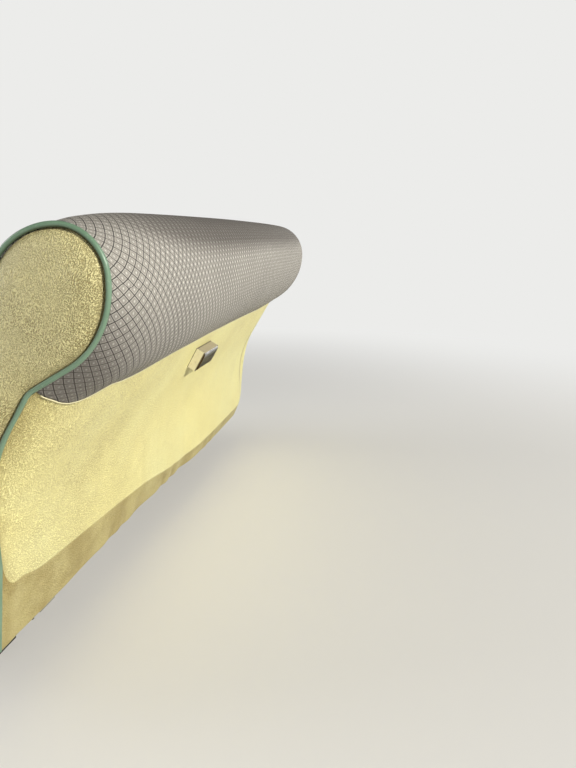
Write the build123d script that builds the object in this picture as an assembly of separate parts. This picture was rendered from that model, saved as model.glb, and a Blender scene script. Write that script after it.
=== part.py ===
from build123d import *
import os
from collections import namedtuple
from math import cos, radians, sin, sqrt

os.makedirs("parts", exist_ok=True)

# A 1950s saloon car's front bench seat, millimetres.
# X runs across the car with its left side at +X, the seat faces -Y, and the floor is Z 0.

# Overall
bench_width = 1250.0
seat_gap = 0.3
run_gap = 0.8
overcut = 1.0

# Backrest outline: each pair is a size at the end piping, then in the middle of the bench
top_y = 300.0
head_rear_radius = (61.0, 89.0)
head_under_radius = (124.0, 152.0)
head_under_turn = 60.0
nook_radius = (36.0, 12.0)
nook_turn = (26.0, 30.0)
slope_length = (59.0, 134.0)
hollow_radius = (246.0, 295.0)
hollow_turn = (33.0, 27.0)
crease_radius = 16.0
panel_low_z = 118.0
hem_radius = 14.0
hem_length = 26.0
head_front_radius = (108.0, 125.0)
back_rake = (22.0, 19.0)
knee_radius = 30.0
knee_y = 64.0
squab_low_z = panel_low_z + hem_radius + seat_gap
roll_split_z = 545.0
panel_wall = 8.0

# Stations along the backrest. share: place as a share of the half width. full: share of the middle's
# sizes in the pairs above. top: height of the roll. sag: how far its cloth hangs lower behind.
# under: length from the roll in to the seam. upright: length of panel above its crease. lean: the
# crease's turn in degrees. The two by the middle are alike, so the panel is flat behind the ashtray.
Station = namedtuple("Station", "share full top sag under upright lean")
back_stations = (
    Station(-1.0, 0.0, 734.0, 4.0, 56.0, 70.0, 8.0),
    Station(-0.985, 0.28, 738.0, 3.0, 49.0, 76.0, 11.0),
    Station(-0.95, 0.68, 744.5, 1.5, 38.0, 88.0, 16.0),
    Station(-0.88, 0.94, 748.5, 1.0, 29.0, 97.0, 20.0),
    Station(-0.7, 1.0, 751.0, 4.0, 27.0, 100.0, 21.0),
    Station(-0.35, 1.0, 753.0, 5.0, 29.0, 100.0, 21.0),
    Station(-0.1, 1.0, 754.0, 4.0, 49.0, 90.0, 17.0),
    Station(0.1, 1.0, 754.0, 4.0, 49.0, 90.0, 17.0),
    Station(0.35, 1.0, 753.0, 5.0, 50.0, 60.0, 14.0),
    Station(0.7, 1.0, 751.0, 5.0, 50.0, 42.0, 10.0),
    Station(0.88, 0.94, 745.5, 1.0, 50.0, 34.0, 9.0),
    Station(0.95, 0.68, 740.5, 1.0, 52.0, 38.0, 9.0),
    Station(0.985, 0.28, 736.5, 2.5, 54.0, 56.0, 8.0),
    Station(1.0, 0.0, 734.0, 4.0, 56.0, 70.0, 8.0),
)
end_station = back_stations[0]
middle_station = back_stations[6]

# End caps and piping
piping_radius = 3.5
piping_inset = 1.5
cap_swell = 13.0
cap_edge_radius = 9.0
back_piping_low_z = 352.0

# Cushion, seen from above
cushion_front_y = piping_radius - top_y - head_rear_radius[1]
cushion_rear_y = knee_y - seat_gap
cushion_corner_radius = 120.0
cushion_edge_z = 282.0
facing_wall = 8.0
facing_low_z = 112.0
facing_tuck = 20.0
# Crown of the cushion: height above the edge, inset from the outline
cushion_crown = ((22.0, 1.0), (42.0, 10.0), (56.0, 40.0), (62.0, 100.0))

# Base frame of rectangular tube
frame_tube_width = 22.0
frame_tube_height = 30.0
frame_tube_wall = 2.0
frame_low_z = 104.0
frame_front_y = cushion_front_y + 36.0
frame_rear_y = 56.0
frame_half_width = bench_width / 2 - 85.0

# Zigzag springs
spring_wire_radius = 1.9
spring_count = 8
spring_pitch = 140.0
spring_half_width = 24.0
spring_bends = 12

# Runners
runner_x = bench_width / 2 - 195.0
rail_width = 44.0
rail_height = 24.0
rail_wall = 3.0
rail_lip = 11.0
rail_front_y = -335.0
rail_rear_y = 80.0
rail_low_z = 60.0
slider_front_y = -262.0
slider_rear_y = 18.0
slider_web = 12.0
slider_plate = 4.0
travel = 60.0

# Feet
foot_length = 64.0
foot_width = 58.0
foot_sheet = 4.0
foot_flange = 46.0
floor_bolt_radius = 5.0
foot_inset = 12.0
foot_rear_y = 24.0

# Back brackets
bracket_sheet = 5.0
bracket_heel = 24.0
bracket_places = (("left", runner_x), ("middle", 0.0), ("right", -runner_x))

# Release bar, lever and latches
release_radius = 4.0
release_y = -300.0
release_z = 95.0
release_overhang = 60.0
lever_boss_radius = 9.0
lever_sheet = 6.0
lever_tip_y = -374.0
lever_knob_radius = 7.0
knob_neck = 1.0
latch_sheet = 5.0
latch_low_z = 88.0
latch_length = 70.0
latch_nose = 9.0

# Ashtray on the back panel
ashtray_width = 98.0
ashtray_height = 50.0
ashtray_depth = 25.0
ear_depth = 22.0
ashtray_drop = 28.0
ashtray_sheet = 1.5
bin_wall = 1.6
bin_side_gap = 0.5
bin_corner_radius = 8.0
bin_heel_radius = 4.6
bin_lip_height = 14.0
bin_pivot_depth = 7.4
bin_pivot_height = 6.0
pin_radius = 2.0
pin_clearance = 0.2
pin_length = 3.4


def blend(pair, at):
    """A size at a station, between its end value and its middle value."""
    return pair[0] + (pair[1] - pair[0]) * at.full


def walk(start, heading, steps, shift=0.0):
    """A smooth path as lists of points: each step is a size and a turn in degrees.

    A turn of 0 is a straight run of that length, any other an arc of that radius.
    The shift moves the whole path to its left, parallel to itself.
    """
    a, b = start
    a -= shift * sin(radians(heading))
    b += shift * cos(radians(heading))
    pieces = []
    for size, turn in steps:
        if turn == 0:
            end = (a + size * cos(radians(heading)), b + size * sin(radians(heading)))
            pieces.append([(a, b), end])
        else:
            side = 1 if turn > 0 else -1
            radius = side * size - shift
            centre = (a - radius * sin(radians(heading)), b + radius * cos(radians(heading)))
            points = [(a, b)]
            for share in (0.5, 1.0):
                at = heading + turn * share
                angle = radians(at)
                points.append((centre[0] + radius * sin(angle), centre[1] - radius * cos(angle)))
            pieces.append(points)
            heading += turn
        a, b = pieces[-1][-1]
    return pieces


def turned_round(pieces):
    """The same path walked from its other end."""
    return [points[::-1] for points in pieces[::-1]]


def joined(*paths):
    """One closed path: each gap between two paths gets a straight run."""
    pieces = []
    for path in paths:
        if pieces:
            pieces.append([pieces[-1][-1], path[0][0]])
        pieces += path
    pieces.append([pieces[-1][-1], pieces[0][0]])
    return pieces


def polygon(points):
    """Straight runs between points, closed."""
    return [[points[index], points[(index + 1) % len(points)]] for index in range(len(points))]


def wire_of(pieces, place):
    """The edges of a path, each point set in space by place(a, b)."""
    edges = []
    for points in pieces:
        spots = [place(a, b) for a, b in points]
        make = Edge.make_line if len(spots) == 2 else Edge.make_three_point_arc
        edges.append(make(*spots))
    return Wire(edges)


def on_side(x):
    """Places an outline drawn in Y and Z at one X."""
    return lambda a, b: Vector(x, a, b)


def on_level(z):
    """Places an outline drawn in X and Y at one Z."""
    return lambda a, b: Vector(a, b, z)


def prism(pieces, place, vector):
    """An outline pushed straight along a vector."""
    return Solid.extrude(Face(wire_of(pieces, place)), Vector(*vector))


def block(x0, x1, y0, y1, z0, z1):
    """A box between two corners."""
    middle = ((x0 + x1) / 2, (y0 + y1) / 2, (z0 + z1) / 2)
    return Pos(*middle) * Box(x1 - x0, y1 - y0, z1 - z0)


def save(node, shape):
    """Writes one sub-part under its node's name."""
    export_step(shape, "parts/" + node + ".step")


# Paths of the backrest's outline
seam_heading = 270 - head_under_turn


def sag_shares(at):
    """How much of the slope a sag uses up, and how much longer it makes the run under the roll."""
    under = radians(seam_heading)
    slope = radians(seam_heading + blend(nook_turn, at))
    cross = cos(under) * sin(slope) - cos(slope) * sin(under)
    return (-at.sag * cos(under) / cross, -at.sag * cos(slope) / cross)


def head_steps(at, trim=0.0):
    """From the top over the rear of the roll to the seam under it."""
    return [
        (blend(head_rear_radius, at), -90),
        (at.sag, 0),
        (blend(head_under_radius, at), -head_under_turn),
        (at.under + sag_shares(at)[1] - trim, 0),
    ]


def panel_steps(at):
    """From the seam under the roll down to the hem below the panel."""
    steps = [
        (blend(nook_radius, at), blend(nook_turn, at)),
        (blend(slope_length, at) - sag_shares(at)[0], 0),
        (blend(hollow_radius, at), blend(hollow_turn, at)),
        (at.upright, 0),
        (crease_radius, -at.lean),
    ]
    heading = seam_heading + blend(nook_turn, at) + blend(hollow_turn, at) - at.lean
    crease_z = walk(seam_point(at), seam_heading, steps)[-1][-1][1]
    hem_z = panel_low_z + hem_radius * (1 + cos(radians(heading)))
    band = (hem_z - crease_z) / sin(radians(heading))
    return steps + [(band, 0), (hem_radius, 180 - heading), (hem_length, 0)]


def front_steps(at, low_z):
    """From the top over the front of the roll and down the seat side to low_z."""
    rake = blend(back_rake, at)
    radius = blend(head_front_radius, at)
    turn = 90 - rake
    reach = top_y - knee_y - radius * sin(radians(turn)) - knee_radius * (1 - cos(radians(rake)))
    run = reach / cos(radians(turn))
    fall = radius * (1 - cos(radians(turn))) + run * sin(radians(turn)) + knee_radius * sin(radians(rake))
    return [(radius, turn), (run, 0), (knee_radius, rake), (at.top - fall - low_z, 0)]


def front_to_split(at, split_z):
    """The front path's first two steps, cut off at split_z."""
    radius, turn = front_steps(at, squab_low_z)[0]
    fall = at.top - radius * (1 - cos(radians(turn))) - split_z
    return [(radius, turn), (fall / sin(radians(turn)), 0)]


def back_top(at):
    """The highest point of the outline at a station."""
    return (top_y, at.top)


def seam_point(at):
    """Where the cloth of the roll meets the back panel."""
    return walk(back_top(at), 0, head_steps(at))[-1][-1]


body_half = bench_width / 2 - piping_radius - seat_gap


def back_loft(outline):
    """A body through the outline at every station, straight between them."""
    wires = [wire_of(outline(at), on_side(at.share * body_half)) for at in back_stations]
    return Solid.make_loft(wires, True)


def roll_outline(at):
    """The padded roll along the top of the backrest, above the split."""
    rear = walk(back_top(at), 0, head_steps(at, seat_gap))
    inner = panel_wall + seat_gap
    inward = radians(seam_heading - 90)
    end = rear[-1][-1]
    tuck = (end[0] + inner * cos(inward), end[1] + inner * sin(inward))
    front = walk(back_top(at), 180, front_to_split(at, roll_split_z))
    return joined(rear + [[end, tuck]], turned_round(front))[:-1]


def squab_outline(at):
    """The padding between the cloth seat side and the back panel."""
    inner = panel_wall + seat_gap
    rear = walk(seam_point(at), seam_heading, panel_steps(at)[:6], -inner)
    last = rear[-1]
    share = (squab_low_z - last[0][1]) / (last[1][1] - last[0][1])
    rear[-1] = [last[0], (last[0][0] + share * (last[1][0] - last[0][0]), squab_low_z)]
    front = walk(back_top(at), 180, front_steps(at, squab_low_z))
    split = walk(back_top(at), 180, front_to_split(at, roll_split_z - seat_gap))[-1][-1]
    front = [[split, front[1][1]]] + front[2:]
    return joined(rear, turned_round(front))


def panel_outline(at):
    """The covered board on the back, with its turned hem."""
    steps = panel_steps(at)
    outer = walk(seam_point(at), seam_heading, steps)
    inner = walk(seam_point(at), seam_heading, steps, -panel_wall)
    return joined(outer, turned_round(inner))


save("roll", back_loft(roll_outline))
save("squab", back_loft(squab_outline))
save("back_panel", back_loft(panel_outline))


# End caps and the piping round them

rear_round = head_steps(end_station) + panel_steps(end_station)[:6]


def cap_outline(inset):
    """The end of the backrest, inset all round."""
    rear = walk(back_top(end_station), 0, rear_round, -inset)
    front = walk(back_top(end_station), 180, front_steps(end_station, panel_low_z), inset)
    return joined(rear, turned_round(front))[:-1]


cap_inset = piping_inset + piping_radius + seat_gap
cap_inner_x = body_half + seat_gap
cap_outer_x = bench_width / 2 + cap_swell
piped_front = front_steps(end_station, squab_low_z)[:2]
for side, sign in (("left", 1), ("right", -1)):
    outward = (sign * (cap_outer_x - cap_inner_x), 0, 0)
    cap = prism(cap_outline(cap_inset), on_side(sign * cap_inner_x), outward)
    rim = [edge for edge in cap.edges() if abs(edge.center().X - sign * cap_outer_x) < 0.01]
    save("end_cap_" + side, fillet(rim, cap_edge_radius))
    rear = walk(back_top(end_station), 0, rear_round, -piping_inset)
    front = walk(back_top(end_station), 180, piped_front, piping_inset)
    tip = front[-1]
    share = (back_piping_low_z - tip[0][1]) / (tip[1][1] - tip[0][1])
    front[-1] = [tip[0], (tip[0][0] + share * (tip[1][0] - tip[0][0]), back_piping_low_z)]
    route = wire_of(turned_round(front) + rear, on_side(sign * bench_width / 2))
    start = route.position_at(0)
    ring = Plane(origin=start, z_dir=route.tangent_at(0)) * Circle(piping_radius)
    save("back_piping_" + side, sweep(ring, path=route))


# Cushion, its vinyl facing and the piping between them

def plan_path(inset, rear_y=cushion_rear_y):
    """The cushion's edge from the rear left round the front to the rear right."""
    side_run = rear_y - cushion_front_y - cushion_corner_radius
    front_run = bench_width - 2 * cushion_corner_radius
    corner = (cushion_corner_radius, -90)
    steps = [(side_run, 0), corner, (front_run, 0), corner, (side_run, 0)]
    return walk((bench_width / 2, rear_y), 270, steps, -inset)


def plan_wire(inset, z):
    """The closed outline of the cushion at one height."""
    return wire_of(joined(plan_path(inset)), on_level(z))


facing_inner = facing_wall + seat_gap
groove = (piping_radius + seat_gap) * sqrt(2)
frame_top_z = frame_low_z + frame_tube_height
cushion_base_z = frame_top_z + 2 * (spring_wire_radius + seat_gap)
core_wires = [
    plan_wire(facing_inner + facing_tuck, cushion_base_z),
    plan_wire(facing_inner, cushion_edge_z - groove),
    plan_wire(facing_inner, cushion_edge_z),
]
core_low = Solid.make_loft(core_wires[:2], True)
core_edge = Solid.make_loft(core_wires[1:], True)
crown_wires = [plan_wire(groove, cushion_edge_z), plan_wire(0.0, cushion_edge_z + groove)]
for rise, inset in cushion_crown:
    crown_wires.append(plan_wire(inset, cushion_edge_z + rise))
cushion = core_low + core_edge + Solid.make_loft(crown_wires, True)
save("cushion", cushion)


def facing_wire(inset, wall, z):
    """The facing's wall at one height, open towards the backrest."""
    outer = plan_path(inset)
    inner = plan_path(inset + wall)
    return wire_of(joined(outer, turned_round(inner)), on_level(z))


facing_wires = [
    facing_wire(facing_tuck, facing_wall, facing_low_z),
    facing_wire(0.0, facing_wall, cushion_edge_z - groove),
    facing_wire(groove, facing_wall - groove, cushion_edge_z - seat_gap),
]
facing = Solid.make_loft(facing_wires[:2], True) + Solid.make_loft(facing_wires[1:], True)
save("cushion_facing", facing)

piping_route = wire_of(plan_path(0.0), on_level(cushion_edge_z))
piping_start = Plane(origin=piping_route.position_at(0), z_dir=piping_route.tangent_at(0))
piping_ring = piping_start * Circle(piping_radius)
save("cushion_piping", sweep(piping_ring, path=piping_route))


# Base frame: four tubes and a middle one, butted together

def tube(x0, x1, y0, y1):
    """A rectangular tube with capped ends."""
    z0 = frame_low_z
    z1 = frame_low_z + frame_tube_height
    wall = frame_tube_wall
    inside = block(x0 + wall, x1 - wall, y0 + wall, y1 - wall, z0 + wall, z1 - wall)
    return block(x0, x1, y0, y1, z0, z1) - inside


bar_front = frame_front_y + frame_tube_width
bar_rear = frame_rear_y - frame_tube_width
save("frame_front", tube(-frame_half_width, frame_half_width, frame_front_y, bar_front))
save("frame_rear", tube(-frame_half_width, frame_half_width, bar_rear, frame_rear_y))
bar_places = (
    ("left", frame_half_width - frame_tube_width),
    ("middle", -frame_tube_width / 2),
    ("right", -frame_half_width),
)
for name, x0 in bar_places:
    save("frame_" + name, tube(x0, x0 + frame_tube_width, bar_front, bar_rear))


# Zigzag springs between the front and rear tubes, each in its end clips

def spring_at(x):
    """One zigzag wire with straight bars and half round bends."""
    span = frame_rear_y - frame_front_y - frame_tube_width
    step = span / (spring_bends + 1)
    bend = step / 2
    bar = 2 * (spring_half_width - bend)
    front = frame_front_y + frame_tube_width / 2
    rise_z = frame_top_z + spring_wire_radius + seat_gap
    steps = [(bar / 2 + bend, 0)]
    for count in range(spring_bends + 1):
        turn = 180 if count % 2 == 0 else -180
        steps.append((bend, turn))
        steps.append((bar, 0))
    steps[-1] = (bar / 2 + bend, 0)
    path = walk((x, front), 0, steps)
    return wire_of(path, on_level(rise_z))


springs = []
for count in range(spring_count):
    x = (count - (spring_count - 1) / 2) * spring_pitch
    route = spring_at(x)
    ring = Plane(origin=route.position_at(0), z_dir=route.tangent_at(0)) * Rectangle(
        2 * spring_wire_radius, 2 * spring_wire_radius
    )
    springs.append(sweep(ring, path=route))
save("springs", Compound(children=springs))


# Runners: a channel on the floor side and a slider under the frame

slider_foot_z = rail_low_z + rail_wall + run_gap
rail_top_z = rail_low_z + rail_height
for side, sign in (("left", 1), ("right", -1)):
    x = sign * runner_x
    half = rail_width / 2
    rail = block(x - half, x + half, rail_front_y, rail_rear_y, rail_low_z, rail_top_z)
    inner_half = half - rail_wall
    slot_half = half - rail_lip
    y0 = rail_front_y - overcut
    y1 = rail_rear_y + overcut
    low = rail_low_z + rail_wall
    rail -= block(x - inner_half, x + inner_half, y0, y1, low, rail_top_z - rail_wall)
    rail -= block(x - slot_half, x + slot_half, y0, y1, low, rail_top_z + overcut)
    save("rail_" + side, rail)
    foot_half = inner_half - run_gap
    slider = block(
        x - foot_half, x + foot_half, slider_front_y, slider_rear_y,
        slider_foot_z, rail_top_z - rail_wall - run_gap,
    )
    web_half = slider_web / 2
    plate_low = frame_low_z - slider_plate
    slider += block(x - web_half, x + web_half, slider_front_y, slider_rear_y, slider_foot_z, plate_low)
    slider += block(x - half, x + half, frame_front_y, frame_rear_y, plate_low, frame_low_z)
    save("slider_" + side, slider)

    for end, y0 in (("front", rail_front_y + foot_inset), ("rear", foot_rear_y - foot_length)):
        y1 = y0 + foot_length
        inboard = x - sign * (foot_width / 2)
        outboard = x + sign * (foot_width / 2)
        low = min(inboard, outboard)
        high = max(inboard, outboard)
        foot = block(low, high, y0, y1, 0, rail_low_z)
        inside = (low + foot_sheet, high - foot_sheet, y0 - overcut, y1 + overcut)
        foot -= block(*inside, -overcut, rail_low_z - foot_sheet)
        flange_far = outboard + sign * foot_flange
        f0 = min(outboard, flange_far)
        f1 = max(outboard, flange_far)
        flange = block(f0, f1, y0, y1, 0, foot_sheet)
        hole_x = outboard + sign * foot_flange / 2
        hole = Pos(hole_x, (y0 + y1) / 2, foot_sheet / 2) * Cylinder(floor_bolt_radius, 3 * foot_sheet)
        save("foot_" + end + "_" + side, foot + flange - hole)


# Brackets that carry the backrest from the rear tube
bracket_top_z = squab_low_z - seat_gap
hem_tips = [walk(seam_point(at), seam_heading, panel_steps(at))[-1][-1][0] for at in back_stations]
bracket_tip_y = min(hem_tips) - seat_gap
bracket_corners = [
    (frame_rear_y, frame_low_z),
    (bracket_tip_y, frame_low_z + bracket_heel),
    (bracket_tip_y, bracket_top_z),
    (frame_rear_y, bracket_top_z),
]
for name, x in bracket_places:
    bracket = prism(polygon(bracket_corners), on_side(x - bracket_sheet / 2), (bracket_sheet, 0, 0))
    save("back_bracket_" + name, bracket)


# Release bar with its lever and the latch on each runner
bar_half = runner_x + release_overhang
bar = Pos(0, release_y, release_z) * Rot(0, 90, 0) * Cylinder(release_radius, 2 * bar_half)
save("release_bar", bar)
for side, sign in (("left", 1), ("right", -1)):
    x = sign * (runner_x + rail_width / 2 + seat_gap + latch_sheet / 2)
    nose_y = release_y - latch_nose
    half = latch_sheet / 2
    latch = block(x - half, x + half, nose_y, nose_y + latch_length, latch_low_z, frame_low_z)
    bore = Cylinder(release_radius + pin_clearance, 3 * latch_sheet)
    latch -= Pos(x, release_y, release_z) * Rot(0, 90, 0) * bore
    save("latch_" + side, latch)
lever_x = bar_half + seat_gap + lever_sheet / 2
lever = Pos(lever_x, release_y, release_z) * Rot(0, 90, 0) * Cylinder(lever_boss_radius, lever_sheet)
arm_half = lever_sheet / 2
lever += block(
    lever_x - arm_half, lever_x + arm_half, lever_tip_y, release_y,
    release_z - arm_half, release_z + arm_half,
)
save("release_lever", lever)
knob_y = lever_tip_y - lever_knob_radius
ball = Pos(lever_x, knob_y, release_z) * Sphere(lever_knob_radius)
flat_y = lever_tip_y - seat_gap - knob_neck
reach = 2 * lever_knob_radius
ball -= block(lever_x - reach, lever_x + reach, flat_y, 0, release_z - reach, release_z + reach)
neck = Pos(lever_x, flat_y + knob_neck / 2, release_z) * Rot(90, 0, 0) * Cylinder(arm_half, knob_neck)
save("lever_knob", ball + neck)


# Ashtray: a chrome case fixed to the panel, and the bin that tips out of it

slope_start = walk(seam_point(middle_station), seam_heading, panel_steps(middle_station)[:1])[-1][-1]
slope_heading = seam_heading + blend(nook_turn, middle_station)
down = (cos(radians(slope_heading)), sin(radians(slope_heading)))
away = (-down[1], down[0])
case_foot = (
    slope_start[0] + down[0] * (ashtray_drop + ashtray_height / 2),
    slope_start[1] + down[1] * (ashtray_drop + ashtray_height / 2),
)


def on_panel(x):
    """Places a point given as depth off the panel and height along it."""
    return lambda depth, height: Vector(
        x,
        case_foot[0] + away[0] * depth - down[0] * height,
        case_foot[1] + away[1] * depth - down[1] * height,
    )


def on_row(across, spot):
    """A cylinder's place along X at a spot of depth and height on the panel."""
    centre = on_panel(across)(*spot)
    return Pos(centre.X, centre.Y, centre.Z) * Rot(0, 90, 0)


def plate(x, width, corners):
    """A flat piece seen from the side, width thick from x."""
    return prism(polygon(corners), on_panel(x), (width, 0, 0))


half_high = ashtray_height / 2
half_wide = ashtray_width / 2
back_face = seat_gap + ashtray_sheet
case = plate(
    -half_wide, ashtray_width,
    [(seat_gap, -half_high), (back_face, -half_high), (back_face, half_high), (seat_gap, half_high)],
)
ear_corners = [
    (back_face, -half_high),
    (ear_depth, -half_high),
    (ear_depth, half_high),
    (back_face, half_high),
]
pivot = (bin_pivot_depth, bin_pivot_height - half_high)
for x in (-half_wide, half_wide - ashtray_sheet):
    case += plate(x, ashtray_sheet, ear_corners)
for sign in (1, -1):
    case += on_row(sign * (half_wide - pin_length / 2), pivot) * Cylinder(pin_radius, pin_length)
save("ashtray_case", case)

# The bin in side view: over the top, round the front, back to the heel round its pins
bin_half = half_wide - ashtray_sheet - bin_side_gap
bin_back = pivot[0] - bin_heel_radius
bin_low = pivot[1] - bin_heel_radius
front_rise = half_high - bin_low - 2 * bin_corner_radius
bin_steps = [
    (ashtray_depth - bin_corner_radius - bin_back, 0),
    (bin_corner_radius, -90),
    (front_rise, 0),
    (bin_corner_radius, -90),
    (ashtray_depth - bin_corner_radius - pivot[0], 0),
    (bin_heel_radius, -90),
    (bin_lip_height, 0),
]
skin = walk((bin_back, half_high), 0, bin_steps)
ash_bin = prism(joined(skin), on_panel(-bin_half), (2 * bin_half, 0, 0))
hollow = walk((bin_back, half_high), 0, bin_steps, -bin_wall)
lip = hollow[-1][-1][1]
mouth = [[(bin_back - overcut, lip), (bin_back - overcut, half_high - bin_wall)]]
ash_bin -= prism(joined(hollow, mouth), on_panel(-bin_half + bin_wall), (2 * (bin_half - bin_wall), 0, 0))
for sign in (1, -1):
    ash_bin -= on_row(sign * bin_half, pivot) * Cylinder(pin_radius + pin_clearance, 4 * bin_wall)
save("ashtray_bin", ash_bin)
hinge = on_panel(0.0)(*pivot)
print("ashtray hinge at", round(hinge.Y, 2), round(hinge.Z, 2))
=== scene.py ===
import bmesh
import bpy
import numpy as np
from mathutils import Matrix, Vector


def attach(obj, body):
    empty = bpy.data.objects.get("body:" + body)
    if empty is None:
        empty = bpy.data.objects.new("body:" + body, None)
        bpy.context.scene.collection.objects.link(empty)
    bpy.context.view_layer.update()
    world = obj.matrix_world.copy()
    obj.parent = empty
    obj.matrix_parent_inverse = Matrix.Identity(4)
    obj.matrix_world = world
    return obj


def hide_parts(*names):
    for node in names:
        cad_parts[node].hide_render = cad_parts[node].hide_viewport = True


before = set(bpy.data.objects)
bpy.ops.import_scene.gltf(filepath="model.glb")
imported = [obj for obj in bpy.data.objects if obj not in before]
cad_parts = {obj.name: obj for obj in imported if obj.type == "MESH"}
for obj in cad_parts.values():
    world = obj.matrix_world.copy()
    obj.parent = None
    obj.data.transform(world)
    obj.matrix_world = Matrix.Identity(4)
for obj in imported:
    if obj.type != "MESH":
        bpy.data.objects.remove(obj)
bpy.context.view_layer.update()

# Sizes of the bench in millimetres, down to the springs as in the part's source.
# A pair is a size at the ends of the bench, then in its middle.
MM = 0.001
bench_width = 1250.0
seat_gap = 0.3
piping_radius = 3.5
piping_inset = 1.5
body_half = bench_width / 2 - piping_radius - seat_gap
panel_wall = 8.0
cap_swell = 13.0
back_piping_low_z = 352.0

# Backrest outline
top_y = 300.0
head_rear_radius = (61.0, 89.0)
head_under_radius = (124.0, 152.0)
head_under_turn = 60.0
seam_heading = 270.0 - head_under_turn
nook_radius = (36.0, 12.0)
nook_turn = (26.0, 30.0)
slope_length = (59.0, 134.0)
hollow_radius = (246.0, 295.0)
hollow_turn = (33.0, 27.0)
crease_radius = 16.0
panel_low_z = 118.0
hem_radius = 14.0
hem_length = 26.0
head_front_radius = (108.0, 125.0)
back_rake = (22.0, 19.0)
knee_radius = 30.0
knee_y = 64.0
squab_low_z = panel_low_z + hem_radius + seat_gap

# Cushion
cushion_front_y = piping_radius - top_y - head_rear_radius[1]
cushion_rear_y = knee_y - seat_gap
cushion_corner_radius = 120.0
cushion_edge_z = 282.0
facing_low_z = 112.0
facing_tuck = 20.0

# Ashtray
ashtray_width = 98.0
ashtray_height = 50.0
ashtray_drop = 28.0
ashtray_sheet = 1.5
bin_side_gap = 0.5

# Frame and springs
frame_top_z = 134.0
frame_setback = 36.0
frame_front_y = cushion_front_y + frame_setback
frame_rear_y = 56.0
frame_tube_width = 22.0
spring_wire_radius = 1.9
spring_count = 8
spring_pitch = 140.0
spring_half_width = 24.0
spring_bends = 12

# Sizes that only the covers have, in millimetres
panel_cover_wall = 7.0
welt_radius = 0.8
piping_wave = 0.02
cap_shoulder = 13.0
facing_top_z = cushion_edge_z - 4.0
facing_skin = 0.2
facing_wall = 7.5
facing_fold = 1.6
facing_bulge = 2.0

# Share of the half width where the panel's outline is taken for the ashtray's place
ashtray_share = -0.1

# Share of each station's own length round the outline in its weave: the rest is the middle station's
own_run = 0.25

# How soon the ends' sizes give way to the middle's: the power of the share of the half width
end_power = 22

# Points along the bench, round the end caps and down the cushion's facing
cloth_stations = 260
panel_stations = 300
cap_rows = 150
cap_columns = 40
facing_rows = 24

# The backrest's sizes along the bench, as share of the half width and size: the height of its top, how far
# the roll's cloth hangs lower behind, the run under the roll to the seam, the panel's upright run above its
# crease, and the crease's turn in degrees
roll_top = (
    (-1, 734), (-0.9, 748), (-0.7, 751), (-0.4, 753), (0, 754),
    (0.4, 753), (0.7, 751), (0.8, 749), (0.9, 744), (1, 734),
)
roll_sag = (
    (-1, 4), (-0.9, 1), (-0.75, 2), (-0.6, 6), (-0.3, 5), (0, 4), (0.2, 5),
    (0.35, 5), (0.6, 7), (0.7, 5), (0.78, 1), (0.97, 1), (1, 4),
)
under_length = (
    (-1, 56), (-0.95, 38), (-0.85, 27), (-0.4, 27), (-0.2, 38),
    (-0.1, 49), (0.1, 49), (0.85, 50), (0.95, 52), (1, 56),
)
upright_length = (
    (-1, 70), (-0.95, 88), (-0.85, 98), (-0.3, 100), (-0.12, 96), (0.03, 88),
    (0.25, 66), (0.45, 54), (0.7, 42), (0.92, 32), (1, 70),
)
crease_lean = (
    (-1, 8), (-0.95, 16), (-0.85, 21), (-0.4, 21), (-0.2, 20),
    (0, 17), (0.3, 14), (0.7, 10), (0.95, 9), (1, 8),
)

# Painted shade on the roll's top by share of the half width: the heading in degrees where it ends behind,
# and how dark it is. It fades over these degrees at that edge, and over these millimetres towards the front.
top_shade_edge = ((-1, -74), (-0.9, -76), (-0.3, -80), (0.2, -80), (0.5, -78), (0.77, -65), (0.94, -38), (1, -8))
top_shade_amount = ((-1, 0.54), (-0.5, 0.62), (0.3, 0.70), (0.7, 0.58), (0.9, 0.26), (1, 0.12))
top_shade_fade = 22.0
top_shade_reach = 60.0

# Painted shade under the roll by share of the half width. It starts at this heading and is full this much
# further on.
under_shade = ((-1, 0.02), (0, 0.05), (0.6, 0.14), (0.9, 0.36), (1, 0.60))
under_shade_start = -92.0
under_shade_fade = 45.0

# Folds in the panel's far low corner: height off the panel, place along the bench at a height, that height,
# slant, width, then the height of the fold's middle and its reach up and down
far_folds = (
    (7.0, -580, 330, 0.14, 16, 320, 75),
    (-6.0, -542, 330, 0.12, 17, 330, 85),
    (4.0, -500, 300, 0.30, 20, 290, 60),
)

# Rings of the cushion's pad: how far each is set in from the outline, and its height. Past the crown's inset
# they shrink towards a line at the crown's middle.
cushion_rings = (
    (36.0, 139.0), (27.0, 142.0), (17.5, 200.0), (9.5, 262.0), (5.6, 281.0), (1.5, 286.0), (0.5, 292.0),
    (1.0, 304.0), (5.0, 315.0), (14.0, 326.0), (30.0, 334.0), (60.0, 340.0), (110.0, 343.5), (170.0, 344.5),
)
crown_inset = 110.0
crown_end = 225.0
crown_y = -161.0
crown_half_width = 560.0

# Height above which the cushion's weave lies flat
weave_fold_z = 326.0

# Stuffing of the cushion: squares and greatest swelling in millimetres, pressure, the height below which it
# is held still, how much the cloth may grow, and how many frames it is simulated for
stuffing_voxel = 9.0
stuffing_cap = 14.0
stuffing_pressure = 4.0
stuffing_held_z = 286.0
stuffing_growth = 0.012
stuffing_frames = 20

# Lamps: name, place and size in metres, power in watts, tint. All point at the target.
lamps = (
    ("key", (3.5, 7.2, 4.5), 0.45, 960.0, (1.0, 0.975, 0.92)),
    ("fill", (-3.0, 1.2, 1.6), 2.6, 18.0, (0.93, 0.96, 1.0)),
    ("front", (0.8, -3.6, 1.6), 3.0, 95.0, (1.0, 1.0, 1.0)),
)
lamp_target = (0, 0, 0.4)

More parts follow.
